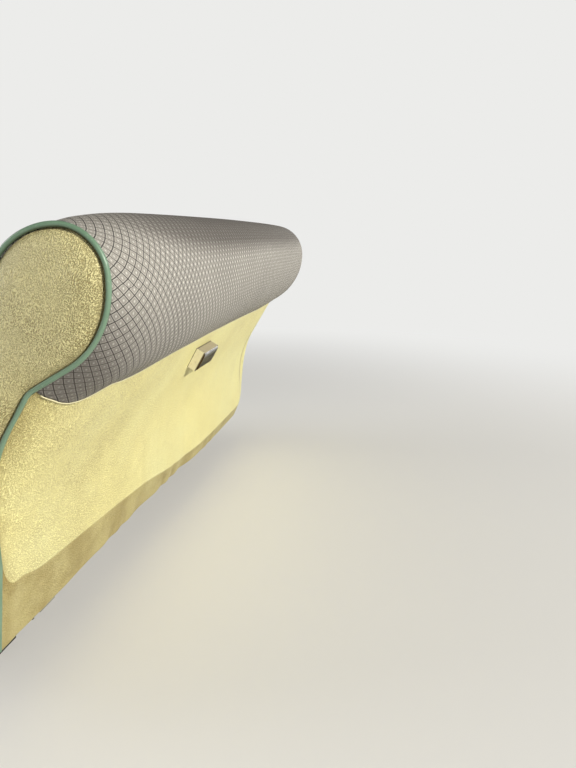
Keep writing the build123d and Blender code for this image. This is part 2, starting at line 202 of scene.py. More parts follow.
# The photograph's camera: its place in metres, its directions, and its focal length in the picture's pixels
camera_place = (1.225, 0.685, 0.720)
camera_right = (-0.190, 0.982, 0.0)
camera_ahead = (-0.949, -0.183, -0.257)
focal_px = 560.0
picture_height_px = 768.0
sensor_mm = 36.0


# Shader maths

class Value:
    """A number in a shader. Python's operators on it add Math nodes."""

    def __init__(self, nodes, socket):
        self.nodes = nodes
        self.socket = socket

    def math(self, operation, *others):
        """One Math node of this value and the others."""
        inputs = dict(enumerate((self,) + others))
        return self.nodes.node("ShaderNodeMath", inputs, operation=operation)

    def __add__(self, other):
        return self.math("ADD", other)

    def __sub__(self, other):
        return self.math("SUBTRACT", other)

    def __rsub__(self, other):
        return self.nodes.node("ShaderNodeMath", {0: other, 1: self}, operation="SUBTRACT")

    def __mul__(self, other):
        return self.math("MULTIPLY", other)

    def __truediv__(self, other):
        return self.math("DIVIDE", other)

    def __abs__(self):
        return self.math("ABSOLUTE")

    __radd__ = __add__
    __rmul__ = __mul__

    def between(self, low, high):
        """0 below low, 1 above high, smooth between."""
        return self.nodes.node(
            "ShaderNodeMapRange", {"Value": self, "From Min": low, "From Max": high},
            interpolation_type="SMOOTHSTEP", clamp=True,
        )


class Nodes:
    """The shader nodes of a material or of the world, added by name."""

    def __init__(self, owner):
        owner.use_nodes = True
        self.owner = owner
        self.tree = owner.node_tree
        self.tree.nodes.clear()

    def node(self, kind, inputs=None, out=0, **settings):
        """Adds one node: its settings first, then its sockets' values or links. Returns one output."""
        made = self.tree.nodes.new(kind)
        for name, value in settings.items():
            setattr(made, name, value)
        for name, value in (inputs or {}).items():
            if isinstance(value, Value):
                self.tree.links.new(value.socket, made.inputs[name])
            else:
                made.inputs[name].default_value = value
        return Value(self, made.outputs[out])

    def output(self, shader, kind="ShaderNodeOutputMaterial"):
        """Links a shader to the output of the material or of the world."""
        self.tree.links.new(shader.socket, self.tree.nodes.new(kind).inputs["Surface"])

    def place(self):
        """Object coordinates, in metres."""
        return self.node("ShaderNodeTexCoord", out=3)

    def parts(self, vector):
        """The three numbers of a vector."""
        made = self.node("ShaderNodeSeparateXYZ", {0: vector}).socket.node
        return [Value(self, output) for output in made.outputs]

    def vector(self, x, y, z=0.0):
        """A vector from three numbers."""
        return self.node("ShaderNodeCombineXYZ", {0: x, 1: y, 2: z})

    def noise(self, place, scale, detail=2.0, roughness=0.5, distortion=0.0):
        """Smooth noise from 0 to 1 with this many grains a metre."""
        return self.node("ShaderNodeTexNoise", {
            "Vector": place, "Scale": scale, "Detail": detail,
            "Roughness": roughness, "Distortion": distortion,
        })

    def blend(self, amount, first, second):
        """A colour between two colours."""
        return self.node("ShaderNodeMix", {0: amount, 6: first, 7: second}, out=2, data_type="RGBA")

    def bump(self, height, distance, strength=1.0):
        """A surface normal raised by a height from 0 to 1 times a distance in metres."""
        return self.node("ShaderNodeBump", {"Height": height, "Distance": distance, "Strength": strength})


class Finish(Nodes):
    """The nodes of a new material."""

    def __init__(self, name):
        super().__init__(bpy.data.materials.new(name))

    def painted_shade(self):
        """How much painted shade darkens the surface, from its mesh."""
        return self.node("ShaderNodeAttribute", out=2, attribute_name="painted_shade")

    def shade(self, colour, roughness, normal, **others):
        """The shader and the material's output. Other sockets are named with _ for a space."""
        inputs = {"Base Color": colour, "Roughness": roughness, "Normal": normal}
        for name, value in others.items():
            inputs[name.replace("_", " ")] = value
        self.output(self.node("ShaderNodeBsdfPrincipled", inputs))
        return self.owner


def paint(red, green, blue):
    """A colour as a screen shows it, 0 to 255, for a shader."""
    values = [((c / 255 + 0.055) / 1.055) ** 2.4 if c > 10 else c / 3294.6 for c in (red, green, blue)]
    return (*values, 1.0)


backdrop_tone = paint(236, 236, 234)


# Finishes

def woven_cloth():
    """Grey cloth: dark lines in a diamond lattice, slanting yarns, and a pale raised knot in each diamond,
    whiter with painted sheen away from the bench's ends.
    """
    f = Finish("woven_cloth")
    diamond = 0.0155
    across, along, _ = f.parts(f.node("ShaderNodeUVMap", uv_map="weave"))
    place = f.place()
    stray = f.noise(place, 55.0, 2.0) * 0.0016
    first_place = ((across + along + stray) / diamond).math("FRACT") - 0.5
    second_place = ((across - along + stray) / diamond).math("FRACT") - 0.5
    first_line = 1 - (0.5 - abs(first_place)).between(0.020, 0.080)
    second_line = 1 - (0.5 - abs(second_place)).between(0.020, 0.080)
    line = first_line.math("MAXIMUM", second_line)
    edge = 0.5 - abs(first_place).math("MAXIMUM", abs(second_place))
    ring = edge.between(0.07, 0.11) * (1 - edge.between(0.13, 0.18))
    up = first_place - second_place
    side = first_place + second_place
    reach = (up * up * 0.6 + side * side * 1.5).math("SQRT")
    knot = 1 - reach.between(0.05, 0.28)
    x, _, _ = f.parts(place)
    # Away from the bench's ends the knots are whiter with painted sheen; near the ends that sheen is taken
    # off.
    knot_sheen_off = abs(x).between(0.47, 0.60) * 0.5
    broken = f.noise(f.vector(across * 420, along * 150), 1.0, 2.0)
    yarn = ((across * 0.62 + along) * (2 * np.pi / 0.0023) + broken * 2.2).math("SINE") * 0.5 + 0.5
    fluff = f.noise(place, 820.0, 3.0, 0.65)
    wear = f.noise(place, 8.0, 3.0)
    colour = f.blend(wear, paint(146, 142, 134), paint(170, 165, 156))
    colour = f.blend(yarn * 0.42 * broken.between(0.25, 0.7), colour, paint(98, 93, 85))
    colour = f.blend(fluff.between(0.45, 0.85) * 0.45, colour, paint(108, 103, 94))
    colour = f.blend(ring * 0.40, colour, paint(212, 208, 196))
    colour = f.blend(knot * (0.55 + 0.5 * fluff) * (1 - knot_sheen_off), colour, paint(254, 251, 240))
    colour = f.blend(line * 0.94, colour, paint(44, 39, 40))
    # Painted shade from the mesh, over the top of the roll and under it.
    colour = f.blend(f.painted_shade(), colour, paint(58, 50, 44))
    height = knot * 0.8 + ring * 0.25 + yarn * 0.25 + fluff * 0.25 + (1 - line) * 0.5
    return f.shade(colour, 0.85 - knot * 0.25, f.bump(height, 0.0008, 0.9))


def grained_vinyl(name, low, high, shade, depth, relief, kept):
    """Cream leathercloth: a grain of short slanting worms, soft wrinkles, darker towards the floor, and
    painted shade.

    kept is the share of the grain's colour that is left away from the bench's left end."""
    f = Finish(name)
    place = f.place()
    x, y, z = f.parts(place)
    sway = f.noise(place, 26.0, 2.0)
    bend = sway * 0.014
    across = x + y * 0.35 + z * 0.30 + bend
    slant = f.vector(across, (y * 0.75 - z * 0.66) * 0.9, (z * 0.75 + y * 0.66) * 0.55 + bend)
    worm = f.noise(slant, 800.0, 1.0, 0.4, 0.3)
    ridge = worm.between(0.34, 0.66)
    fine = f.noise(place, 1400.0, 2.0)
    crinkle = f.noise(f.vector(x, y, z * 0.5), 90.0, 3.0, 0.6, 0.6)
    patch = f.noise(place, 4.0, 4.0, 0.6)
    rubbed = f.noise(place, 13.0, 3.0, 0.6).between(0.35, 0.7)
    grain = (1 - ridge) * (0.6 + 0.4 * rubbed) * (kept + (1 - kept) * x.between(0.05, 0.50))
    painted_shade = f.painted_shade()
    colour = f.blend(patch.between(0.3, 0.75), low, high)
    colour = f.blend(grain * depth, colour, shade)
    # Darker towards the floor.
    colour = f.blend((1 - z.between(0.11, 0.16)) * (0.05 + 0.15 * patch), colour, shade)
    # Painted shade from the mesh.
    colour = f.blend(painted_shade * (0.8 + 0.4 * rubbed), colour, shade)
    height = ridge * 0.8 + fine * 0.08 + crinkle * 0.35
    return f.shade(colour, 0.42 + 0.10 * patch, f.bump(height, relief, 1.0), Specular_IOR_Level=0.45)


def green_piping():
    """Sage green vinyl cord cover, glossy, pale where it is rubbed, with painted shade on its inner side."""
    f = Finish("green_piping")
    place = f.place()
    patch = f.noise(place, 26.0, 3.0)
    ripple = f.noise(place, 160.0, 2.0)
    fine = f.noise(place, 900.0, 2.0)
    colour = f.blend(patch, paint(94, 122, 98), paint(120, 148, 122))
    colour = f.blend(ripple.between(0.6, 0.85) * 0.25, colour, paint(196, 210, 186))
    colour = f.blend(fine.between(0.58, 0.8) * 0.35, colour, paint(76, 94, 64))
    # Painted shade on the piping's inner side.
    colour = f.blend(f.painted_shade(), colour, paint(38, 52, 30))
    bump = f.bump(ripple * 0.7 + fine * 0.3, 0.0002, 0.6)
    return f.shade(colour, 0.26 + 0.14 * patch, bump, Coat_Weight=0.12)


def pale_welt():
    """Cream vinyl folded over the edge of the panel, rubbed pale."""
    f = Finish("pale_welt")
    place = f.place()
    rub = f.noise(place, 60.0, 3.0)
    colour = f.blend(rub, paint(208, 198, 150), paint(232, 226, 190))
    return f.shade(colour, 0.4 + 0.1 * rub, f.bump(f.noise(place, 700.0, 2.0), 0.0002, 0.6))


def black_paint():
    """Satin black paint with dust and chips down to a primer tone."""
    f = Finish("frame_black")
    place = f.place()
    dust = f.noise(place, 14.0, 4.0, 0.6)
    chip = f.noise(place, 120.0, 4.0, 0.7).between(0.66, 0.70)
    colour = f.blend(dust.between(0.4, 0.8) * 0.5, paint(26, 26, 27), paint(74, 68, 60))
    colour = f.blend(chip, colour, paint(112, 86, 66))
    texture = f.noise(place, 800.0, 2.0)
    return f.shade(colour, 0.42 + 0.3 * dust, f.bump(texture - chip * 0.8, 0.00015, 0.6))


def zinc_plate():
    """Zinc plated steel, cloudy, with grease in the hollows."""
    f = Finish("zinc_plate")
    place = f.place()
    x, y, z = f.parts(place)
    cloud = f.noise(place, 60.0, 4.0, 0.6)
    drawn = f.noise(f.vector(x * 900, y * 12, z * 900), 1.0, 2.0)
    colour = f.blend(cloud, paint(150, 148, 140), paint(196, 195, 188))
    colour = f.blend(f.noise(place, 17.0, 4.0).between(0.58, 0.8) * 0.6, colour, paint(78, 66, 50))
    return f.shade(colour, 0.30 + 0.25 * cloud, f.bump(drawn, 0.00008, 0.5), Metallic=0.9)


def spring_steel():
    """Oil blackened spring wire with rust starting."""
    f = Finish("spring_wire")
    place = f.place()
    rust = f.noise(place, 70.0, 4.0, 0.65).between(0.52, 0.72)
    colour = f.blend(rust * 0.7, paint(84, 82, 80), paint(112, 72, 46))
    return f.shade(colour, 0.38 + 0.35 * rust, f.bump(rust, 0.0001, 0.5), Metallic=0.75)


def chrome():
    """Old chrome with ripples, haze and fine pits."""
    f = Finish("chrome_plate")
    place = f.place()
    haze = f.noise(place, 90.0, 4.0, 0.6)
    pits = f.noise(place, 1300.0, 2.0).between(0.64, 0.76)
    colour = f.blend(haze, paint(176, 172, 160), paint(214, 212, 204))
    colour = f.blend(pits * 0.7, colour, paint(96, 84, 66))
    ripple = f.noise(place, 85.0, 2.0, 0.5, 0.8)
    return f.shade(colour, 0.10 + 0.12 * haze + 0.2 * pits, f.bump(ripple, 0.0006, 0.6), Metallic=1.0)


def off_panel(y, z):
    """Depth off the panel and height along it, in metres from the middle of the ashtray's back."""
    foot, down, away = ashtray_place()
    y = y - foot[0] * MM
    z = z - foot[1] * MM
    return y * away[0] + z * away[1], y * -down[0] + z * -down[1]


def bin_chrome():
    """The ashtray's bin: rippled chrome with a painted reflection, a bright band over dark olive crossed by
    dark slanting streaks, a satin ribbed top, and sides dark brown with painted shade.
    """
    f = Finish("bin_chrome")
    place = f.place()
    x, y, z = f.parts(place)
    depth, height = off_panel(y, z)
    half_high = ashtray_height / 2 * MM
    half_wide = (ashtray_width / 2 - ashtray_sheet - bin_side_gap) * MM
    top = height.between(half_high - 0.0014, half_high - 0.0008)
    side = abs(x).between(half_wide - 0.0004, half_wide - 0.0002)
    rib = (depth * (2 * np.pi / 0.0021)).math("SINE") * 0.5 + 0.5
    haze = f.noise(place, 90.0, 4.0, 0.6)
    streak = f.noise(f.vector(x * 26 + height * 100, height * 160 + x * -30, depth * 60), 1.0, 3.0, 0.6)
    pits = f.noise(place, 1300.0, 2.0).between(0.64, 0.76)
    # Painted reflection: a bright band high on the front over dark olive lower down.
    reflection_band = height.between(half_high * 0.35, half_high * 0.8)
    colour = f.blend(reflection_band, paint(128, 118, 78), paint(240, 242, 244))
    colour = f.blend(haze * 0.3, colour, paint(214, 210, 196))
    # Painted reflection: dark slanting streaks.
    colour = f.blend(streak.between(0.42, 0.56) * (0.95 - reflection_band * 0.6), colour, paint(44, 38, 18))
    colour = f.blend(pits * 0.7, colour, paint(96, 84, 66))
    colour = f.blend(top, colour, f.blend(rib, paint(132, 120, 92), paint(208, 197, 168)))
    # Painted shade on the bin's sides, in the gap beside the case.
    colour = f.blend(side, colour, paint(74, 56, 34))
    rough = (0.10 + 0.12 * haze + 0.2 * pits) * (1 - top) + top * 0.42
    bump = f.bump(f.noise(place, 70.0, 2.0, 0.5, 0.8) * (1 - top) + rib * top, 0.0009, 0.8)
    edge_tint = paint(150, 146, 132)
    metal = 0.15 + (1 - top) * (1 - side) * 0.7
    return f.shade(colour, rough * (1 - side) + side * 0.6, bump, Metallic=metal, Specular_Tint=edge_tint)


def satin_steel():
    """Satin steel brushed along the ashtray's height; its cream tone is painted reflection of the vinyl round
    it, and painted shade darkens its back and front edges.
    """
    f = Finish("satin_steel")
    place = f.place()
    x, y, z = f.parts(place)
    depth, height = off_panel(y, z)
    streak = f.noise(f.vector(x * 1500, height * 60, depth * 1500), 1.0, 3.0, 0.6)
    stain = f.noise(place, 120.0, 4.0, 0.6)
    # Painted shade along the back edge against the panel and along the front edge beside the bin.
    rim = (1 - depth.between(0.0014, 0.0024)).math("MAXIMUM", depth.between(0.0196, 0.0206))
    # The cream tone is painted reflection of the cream vinyl round the ashtray.
    colour = f.blend(streak, paint(212, 204, 168), paint(240, 234, 206))
    colour = f.blend(stain.between(0.5, 0.8) * 0.4, colour, paint(170, 150, 108))
    colour = f.blend(rim * 0.9, colour, paint(64, 46, 22))
    return f.shade(colour, 0.40 + 0.16 * streak, f.bump(streak, 0.00012, 0.6), Metallic=0.35)


def black_knob():
    """Glossy black moulding with fine scratches."""
    f = Finish("black_knob")
    place = f.place()
    scratch = f.noise(place, 900.0, 3.0).between(0.55, 0.8)
    colour = f.blend(scratch * 0.3, paint(20, 20, 21), paint(58, 56, 54))
    return f.shade(colour, 0.16 + 0.3 * scratch, f.bump(scratch, 0.00005, 0.3), Coat_Weight=0.2)


# Meshes from grids of points

def surface(name, points, finish, uv=None, painted_shade=None):
    """A closed mesh from a grid of points in millimetres: rows are stations, columns run round the profile.

    uv lays the weave in millimetres. The last argument is how much painted shade darkens each point, from 0
    to 1."""
    rows, columns = points.shape[:2]
    index = np.arange(rows * columns).reshape(rows, columns)
    there = np.roll(index, -1, axis=1)
    faces = np.stack([index[:-1], there[:-1], there[1:], index[1:]], axis=-1).reshape(-1, 4).tolist()
    faces += [index[0].tolist(), index[-1].tolist()]
    mesh = bpy.data.meshes.new(name)
    mesh.from_pydata((points.reshape(-1, 3) * MM).tolist(), [], faces)
    if uv is not None:
        lay_weave(mesh, uv.reshape(-1, 2))
    if painted_shade is not None:
        layer = mesh.attributes.new("painted_shade", "FLOAT", "POINT")
        layer.data.foreach_set("value", painted_shade.astype(np.float32).ravel())
    return finished(name, mesh, finish)


def lay_weave(mesh, flat):
    """Gives each point of a mesh its place in the weave, in millimetres, as the cloth's UV map."""
    layer = mesh.uv_layers.new(name="weave")
    corners = np.zeros(len(mesh.loops), dtype=np.int32)
    mesh.loops.foreach_get("vertex_index", corners)
    layer.data.foreach_set("uv", (flat[corners] * MM).astype(np.float32).ravel())


def finished(name, mesh, finish):
    """Merges doubled points, turns the faces outwards, shades them smooth and makes the object."""
    work = bmesh.new()
    work.from_mesh(mesh)
    bmesh.ops.remove_doubles(work, verts=work.verts, dist=0.00002)
    bmesh.ops.dissolve_degenerate(work, dist=0.00001, edges=work.edges)
    bmesh.ops.recalc_face_normals(work, faces=work.faces)
    work.to_mesh(mesh)
    work.free()
    return placed(name, mesh, finish)


def placed(name, mesh, finish):
    """A smooth shaded object of one finish in the scene."""
    smooth(mesh)
    mesh.materials.append(finish)
    piece = bpy.data.objects.new(name, mesh)
    bpy.context.collection.objects.link(piece)
    return piece


def smooth(mesh):
    """Shades all of a mesh's faces smooth."""
    mesh.polygons.foreach_set("use_smooth", np.ones(len(mesh.polygons), dtype=bool))


def turn_normals(heading):
    """The unit normal to the left of each heading in degrees."""
    angle = np.radians(heading)
    return -np.sin(angle), np.cos(angle)


def run_of(path):
    """Length along a row of points from its start, for every row."""
    hop = np.linalg.norm(np.diff(path, axis=1), axis=2)
    return np.concatenate([np.zeros((len(path), 1)), np.cumsum(hop, axis=1)], axis=1)


def travel(start, heading, steps, shift=0.0):
    """Smooth paths for all stations at once, as arrays of two coordinates and the heading.

    A step is a size, a turn in degrees and a count of points. A turn of 0 is a straight run of that
    length, any other an arc of that radius. shift moves the paths to their left, parallel to themselves."""
    a, b = [np.asarray(value, float) for value in start]
    heading = np.zeros_like(a) + heading
    side_a, side_b = turn_normals(heading)
    a = a + shift * side_a
    b = b + shift * side_b
    columns = [(a, b, heading)]
    for size, turn, count in steps:
        if np.all(np.asarray(turn) == 0):
            angle = np.radians(heading)
            for share in np.arange(1, count + 1) / count:
                columns.append((a + size * share * np.cos(angle), b + size * share * np.sin(angle), heading))
        else:
            radius = np.sign(turn) * size - shift
            side_a, side_b = turn_normals(heading)
            centre_a = a + radius * side_a
            centre_b = b + radius * side_b
            for share in np.arange(1, count + 1) / count:
                at = heading + turn * share
                side_a, side_b = turn_normals(at)
                columns.append((centre_a - radius * side_a, centre_b - radius * side_b, at))
        a, b, heading = columns[-1]
    return [np.stack(values, axis=1) for values in zip(*columns)]


# The backrest's outline

def eased(table, share):
    """Sizes at each share of the half width, by cubic curves that never overshoot the table's rows."""
    place, size = np.array(table, float).T
    gap = np.diff(place)
    slope = np.diff(size) / gap
    both = slope[:-1] * slope[1:]
    tangent = np.zeros(len(place))
    tangent[1:-1] = np.where(both > 0, 2 * both / (slope[:-1] + slope[1:] + 1e-9 * (both <= 0)), 0)
    row = np.clip(np.searchsorted(place, share) - 1, 0, len(gap) - 1)
    step = gap[row]
    t = (share - place[row]) / step
    rise = size[row + 1] - size[row]
    return (
        size[row] + rise * t * t * (3 - 2 * t)
        + step * (tangent[row] * t * (1 - t) ** 2 - tangent[row + 1] * t * t * (1 - t))
    )


class Stations:
    """Places along the backrest, with the outline's sizes at each."""

    def __init__(self, x):
        share = np.clip(x / body_half, -1, 1)
        self.x = x
        self.full = 1 - np.abs(share) ** end_power
        self.top = eased(roll_top, share)
        self.sag = eased(roll_sag, share)
        self.under = eased(under_length, share)
        self.upright = eased(upright_length, share)
        self.lean = eased(crease_lean, share)

    def blend(self, pair):
        """A size between the end's and the middle's."""
        return pair[0] + (pair[1] - pair[0]) * self.full

    def points(self, a, b):
        """A grid of points from the stations and their outlines."""
        return np.stack([np.repeat(self.x[:, None], a.shape[1], axis=1), a, b], axis=-1)


def along(count):
    """Stations along the whole bench, closer together near both ends."""
    t = np.linspace(-1, 1, count)
    return Stations(body_half * (0.55 * t + 0.45 * np.sin(t * np.pi / 2)))


def sag_shares(at):
    """How much of the slope a sag uses up, and how much longer it makes the run under the roll."""
    under = np.radians(seam_heading)
    slope = np.radians(seam_heading + at.blend(nook_turn))
    cross = np.cos(under) * np.sin(slope) - np.cos(slope) * np.sin(under)
    return -at.sag * np.cos(under) / cross, -at.sag * np.cos(slope) / cross


def head_steps(at, trim=0.0):
    """From the top over the rear of the roll to the seam under it."""
    return [
        (at.blend(head_rear_radius), -90.0, 36),
        (at.sag, 0, 2),
        (at.blend(head_under_radius), -head_under_turn, 30),
        (at.under + sag_shares(at)[1] - trim, 0, 12),
    ]


def panel_steps(at):
    """From the seam under the roll down to the hem below the panel."""
    steps = [
        (at.blend(nook_radius), at.blend(nook_turn), 8),
        (at.blend(slope_length) - sag_shares(at)[0], 0, 28),
        (at.blend(hollow_radius), at.blend(hollow_turn), 28),
        (at.upright, 0, 20),
        (crease_radius, -at.lean, 8),
    ]
    heading = seam_heading + at.blend(nook_turn) + at.blend(hollow_turn) - at.lean
    crease_z = travel(seam_point(at), seam_heading, steps)[1][:, -1]
    hem_z = panel_low_z + hem_radius * (1 + np.cos(np.radians(heading)))
    band = (hem_z - crease_z) / np.sin(np.radians(heading))
    return steps + [(band, 0, 24), (hem_radius, 180 - heading, 10), (hem_length, 0, 4)]


def front_steps(at, low_z):
    """From the top over the front of the roll and down the seat side."""
    rake = at.blend(back_rake)
    radius = at.blend(head_front_radius)
    turn = 90 - rake
    lean = np.radians(turn)
    tilt = np.radians(rake)
    reach = top_y - knee_y - radius * np.sin(lean) - knee_radius * (1 - np.cos(tilt))
    run = reach / np.cos(lean)
    fall = radius * (1 - np.cos(lean)) + run * np.sin(lean) + knee_radius * np.sin(tilt)
    return [(radius, turn, 30), (run, 0, 44), (knee_radius, rake, 6), (at.top - fall - low_z, 0, 18)]


def back_top(at):
    """The highest point of the outline at each station."""
    return np.full_like(at.x, top_y), at.top


def seam_point(at):
    """Where the cloth of the roll meets the vinyl panel."""
    a, b, _ = travel(back_top(at), 0.0, head_steps(at))
    return a[:, -1], b[:, -1]


def backrest_cloth():
    """The cloth over the roll and the seat side: the outline's ring carried along the bench."""
    at = along(cloth_stations)
    rear = travel(back_top(at), 0.0, head_steps(at, seat_gap))
    front = travel(back_top(at), 180.0, front_steps(at, squab_low_z))
    inner = travel(seam_point(at), seam_heading, panel_steps(at)[:6], -(panel_wall + seat_gap))
    keep = inner[1].min(axis=0) > squab_low_z
    a = np.concatenate([rear[0][:, ::-1], front[0][:, 1:], inner[0][:, keep][:, ::-1]], axis=1)
    b = np.concatenate([rear[1][:, ::-1], front[1][:, 1:], inner[1][:, keep][:, ::-1]], axis=1)
    grid = at.points(a, b)
    top = rear[0].shape[1] - 1
    middle = len(at.x) // 2
    ring = run_of(grid)
    down = ring - ring[:, top:top + 1]
    down = own_run * down + (1 - own_run) * down[middle]
    across = run_of(grid.transpose(1, 0, 2)).T
    across = across - across[middle:middle + 1]
    uv = np.stack([across, down], axis=-1)
    heading = np.pad(rear[2][:, ::-1], ((0, 0), (0, a.shape[1] - rear[2].shape[1])))
    forward = np.maximum(ring - ring[:, top:top + 1], 0)
    share = (at.x / body_half)[:, None]
    # Painted shade over the top of the roll, fading at its rear edge and towards the front.
    top_shade = np.clip((heading - eased(top_shade_edge, share)) / top_shade_fade, 0, 1)
    # Painted shade under the roll.
    under = eased(under_shade, share) * np.clip((under_shade_start - heading) / under_shade_fade, 0, 1)
    painted_shade = under + eased(top_shade_amount, share) * top_shade * np.exp(-(forward / top_shade_reach) ** 2)
    piece = surface("backrest_cloth", grid, cloth, uv, painted_shade)
    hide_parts("roll", "squab")
    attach(piece, "seat")
    return piece


def back_panel():
    """The vinyl over the board on the back: outer and inner paths carried along the bench.

    Painted shade darkens it below the crease, beside the ends, along the seam and in the folds' valleys."""
    at = along(panel_stations)
    steps = panel_steps(at)
    outer = travel(seam_point(at), seam_heading, steps)
    inner = travel(seam_point(at), seam_heading, steps, -panel_cover_wall)
    side_a, side_b = turn_normals(outer[2])
    lift = panel_relief(at.x[:, None], outer[1])
    a = np.concatenate([outer[0] + lift * side_a, inner[0][:, ::-1]], axis=1)
    b = np.concatenate([outer[1] + lift * side_b, inner[1][:, ::-1]], axis=1)
    column = np.arange(outer[0].shape[1])[None, :]
    crease = 1 + sum(step[2] for step in steps[:4])
    # Painted shade below the crease, beside the ends, along the seam and in the folds' valleys.
    below = np.clip((column - crease) / steps[4][2], 0, 1)
    beside = np.exp(-(body_half - np.abs(at.x[:, None])) / 11.0)
    seam = np.exp(-column / 5.0)
    valley = np.clip(-lift / 4.0, 0, 1)
    painted_shade = np.clip(0.72 * below + 0.40 * beside + 0.30 * seam + 0.5 * valley, 0, 0.9)
    painted_shade = np.concatenate([painted_shade, painted_shade[:, ::-1]], axis=1)
    piece = surface("back_panel_vinyl", at.points(a, b), vinyl, painted_shade=painted_shade)
    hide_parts("back_panel")
    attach(piece, "seat")
    return piece


def bell(value, centre, width):
    """1 at the centre, falling away smoothly over the width."""
    return np.exp(-((value - centre) / width) ** 2)


def panel_relief(x, z):
    """Folds of the vinyl in millimetres, outwards: soft waves, the far corner's folds, puckers at the hem.

    Near both ends the vinyl is drawn in."""
    lift = 0.7 * np.sin(x / 71.0 + z / 60.0) * bell(z, 420, 120)
    for height, place_x, place_z, slant, width, middle_z, reach in far_folds:
        lift += height * bell(x, place_x + slant * (z - place_z), width) * bell(z, middle_z, reach)
    lift += 1.5 * np.sin(x / 13.0 + 2.0 * np.sin(x / 41.0)) * bell(z, 128, 30) * bell(x, 60, 330)
    lift -= 1.6 * np.clip((np.abs(x) - 588) / 33, 0, 1) ** 2
    return lift


# End caps and piping

def end_outline(inset):
    """The end's front path and rear path from the top, inset into the backrest."""
    end = Stations(np.array([body_half]))
    rear = travel(back_top(end), 0.0, head_steps(end) + panel_steps(end)[:6], -inset)
    front = travel(back_top(end), 180.0, front_steps(end, panel_low_z), inset)
    rear_path = np.stack([rear[0][0], rear[1][0]], axis=1)
    front_path = np.stack([front[0][0], front[1][0]], axis=1)
    return front_path, rear_path


def even(path, count):
    """The same path with evenly spaced points."""
    hop = np.concatenate([[0], np.cumsum(np.linalg.norm(np.diff(path, axis=0), axis=1))])
    at = np.linspace(0, hop[-1], count)
    return np.stack([np.interp(at, hop, path[:, k]) for k in range(path.shape[1])], axis=1)


def end_cap(side, sign):
    """The domed vinyl end: chords between the front and rear paths, swelling with distance from the rim."""
    front, rear = end_outline(piping_inset + piping_radius + seat_gap)
    front = even(front, cap_rows)
    rear = even(rear, cap_rows)
    share = (1 - np.cos(np.linspace(0, np.pi, cap_columns))) / 2
    spot = front[:, None] * (1 - share[None, :, None]) + rear[:, None] * share[None, :, None]
    rim = np.concatenate([front, rear])
    gap = np.linalg.norm(spot[:, :, None] - rim[None, None], axis=-1).min(axis=2)
    inner_x = body_half + seat_gap
    swell = bench_width / 2 + cap_swell - inner_x
    rise = swell * (1 - np.exp(-(gap / cap_shoulder) ** 0.9))
    rise += cap_relief(spot[..., 0], spot[..., 1], gap)
    outside = np.stack([sign * (inner_x + rise), spot[..., 0], spot[..., 1]], axis=-1)
    inside = np.stack([np.full_like(rise, sign * inner_x), spot[..., 0], spot[..., 1]], axis=-1)[:, ::-1]
    grid = np.concatenate([outside, inside[:, 1:-1]], axis=1)
    # Painted shade along the rim, beside the piping.
    rim_shade = 0.85 * np.exp(-gap / 2.6)
    painted_shade = np.concatenate([rim_shade, rim_shade[:, ::-1][:, 1:-1]], axis=1)
    piece = surface("end_cap_vinyl_" + side, grid, shaded_cap_vinyl, painted_shade=painted_shade)
    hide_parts("end_cap_" + side)
    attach(piece, "seat")
    return piece


def cap_relief(y, z, gap):
    """Wrinkles of an end cap in millimetres: short folds running in from the rear rim of the head."""
    reach = np.clip(gap / 12.0, 0, 1) * np.exp(-gap / 26.0)
    ray = np.degrees(np.arctan2(z - 640.0, y - 290.0))
    return 0.8 * np.sin(ray / 3.1 + gap / 9.0) * reach * bell(ray, 0, 55)


def cord_along(name, path, normal, node):
    """A round cord of piping along a path whose side direction is given, closed at both ends.

    Its thickness waves a little. Painted shade darkens its inner side, towards the middle of its path."""
    turn = np.gradient(path, axis=0)
    turn /= np.linalg.norm(turn, axis=1, keepdims=True)
    side = np.cross(turn, normal)
    angle = np.linspace(0, 2 * np.pi, 14, endpoint=False)
    run = np.arange(len(path))
    thick = piping_radius * (1 + piping_wave * np.sin(run / 3.1) + piping_wave * np.sin(run / 7.7))
    ring = np.cos(angle)[None, :, None] * side[:, None] + np.sin(angle)[None, :, None] * normal[None, None]
    grid = path[:, None] + ring * thick[:, None, None]
    # Painted shade on the inner side.
    inwards = path.mean(axis=0) - path
    inwards /= np.linalg.norm(inwards, axis=1, keepdims=True)
    painted_shade = 0.85 * np.clip((ring * inwards[:, None]).sum(axis=2) * 1.4 - 0.1, 0, 1)
    piece = surface(name, grid, piping_finish, painted_shade=painted_shade)
    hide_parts(node)
    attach(piece, "seat")
    return piece


def back_piping(side, sign):
    """Piping round the end: up the front, over the roll and down the rear edge."""
    front, rear = end_outline(piping_inset)
    front = front[front[:, 1] > back_piping_low_z]
    path = even(np.concatenate([front[::-1], rear[1:]]), 420)
    points = np.column_stack([np.full(len(path), sign * bench_width / 2), path])
    cord_along("end_piping_" + side, points, np.array([1.0, 0, 0]), "back_piping_" + side)


# The cushion

def plan(inset):
    """The cushion's outline seen from above, from the rear left round the front to the rear right."""
    side_run = cushion_rear_y - cushion_front_y - cushion_corner_radius
    front_run = bench_width - 2 * cushion_corner_radius
    corner = (cushion_corner_radius, -90.0, 24)
    steps = [(side_run, 0, 50), corner, (front_run, 0, 150), corner, (side_run, 0, 50)]
    start = (np.array([bench_width / 2]), np.array([cushion_rear_y]))
    a, b, heading = travel(start, 270.0, steps, -inset)
    return a[0], b[0], heading[0]


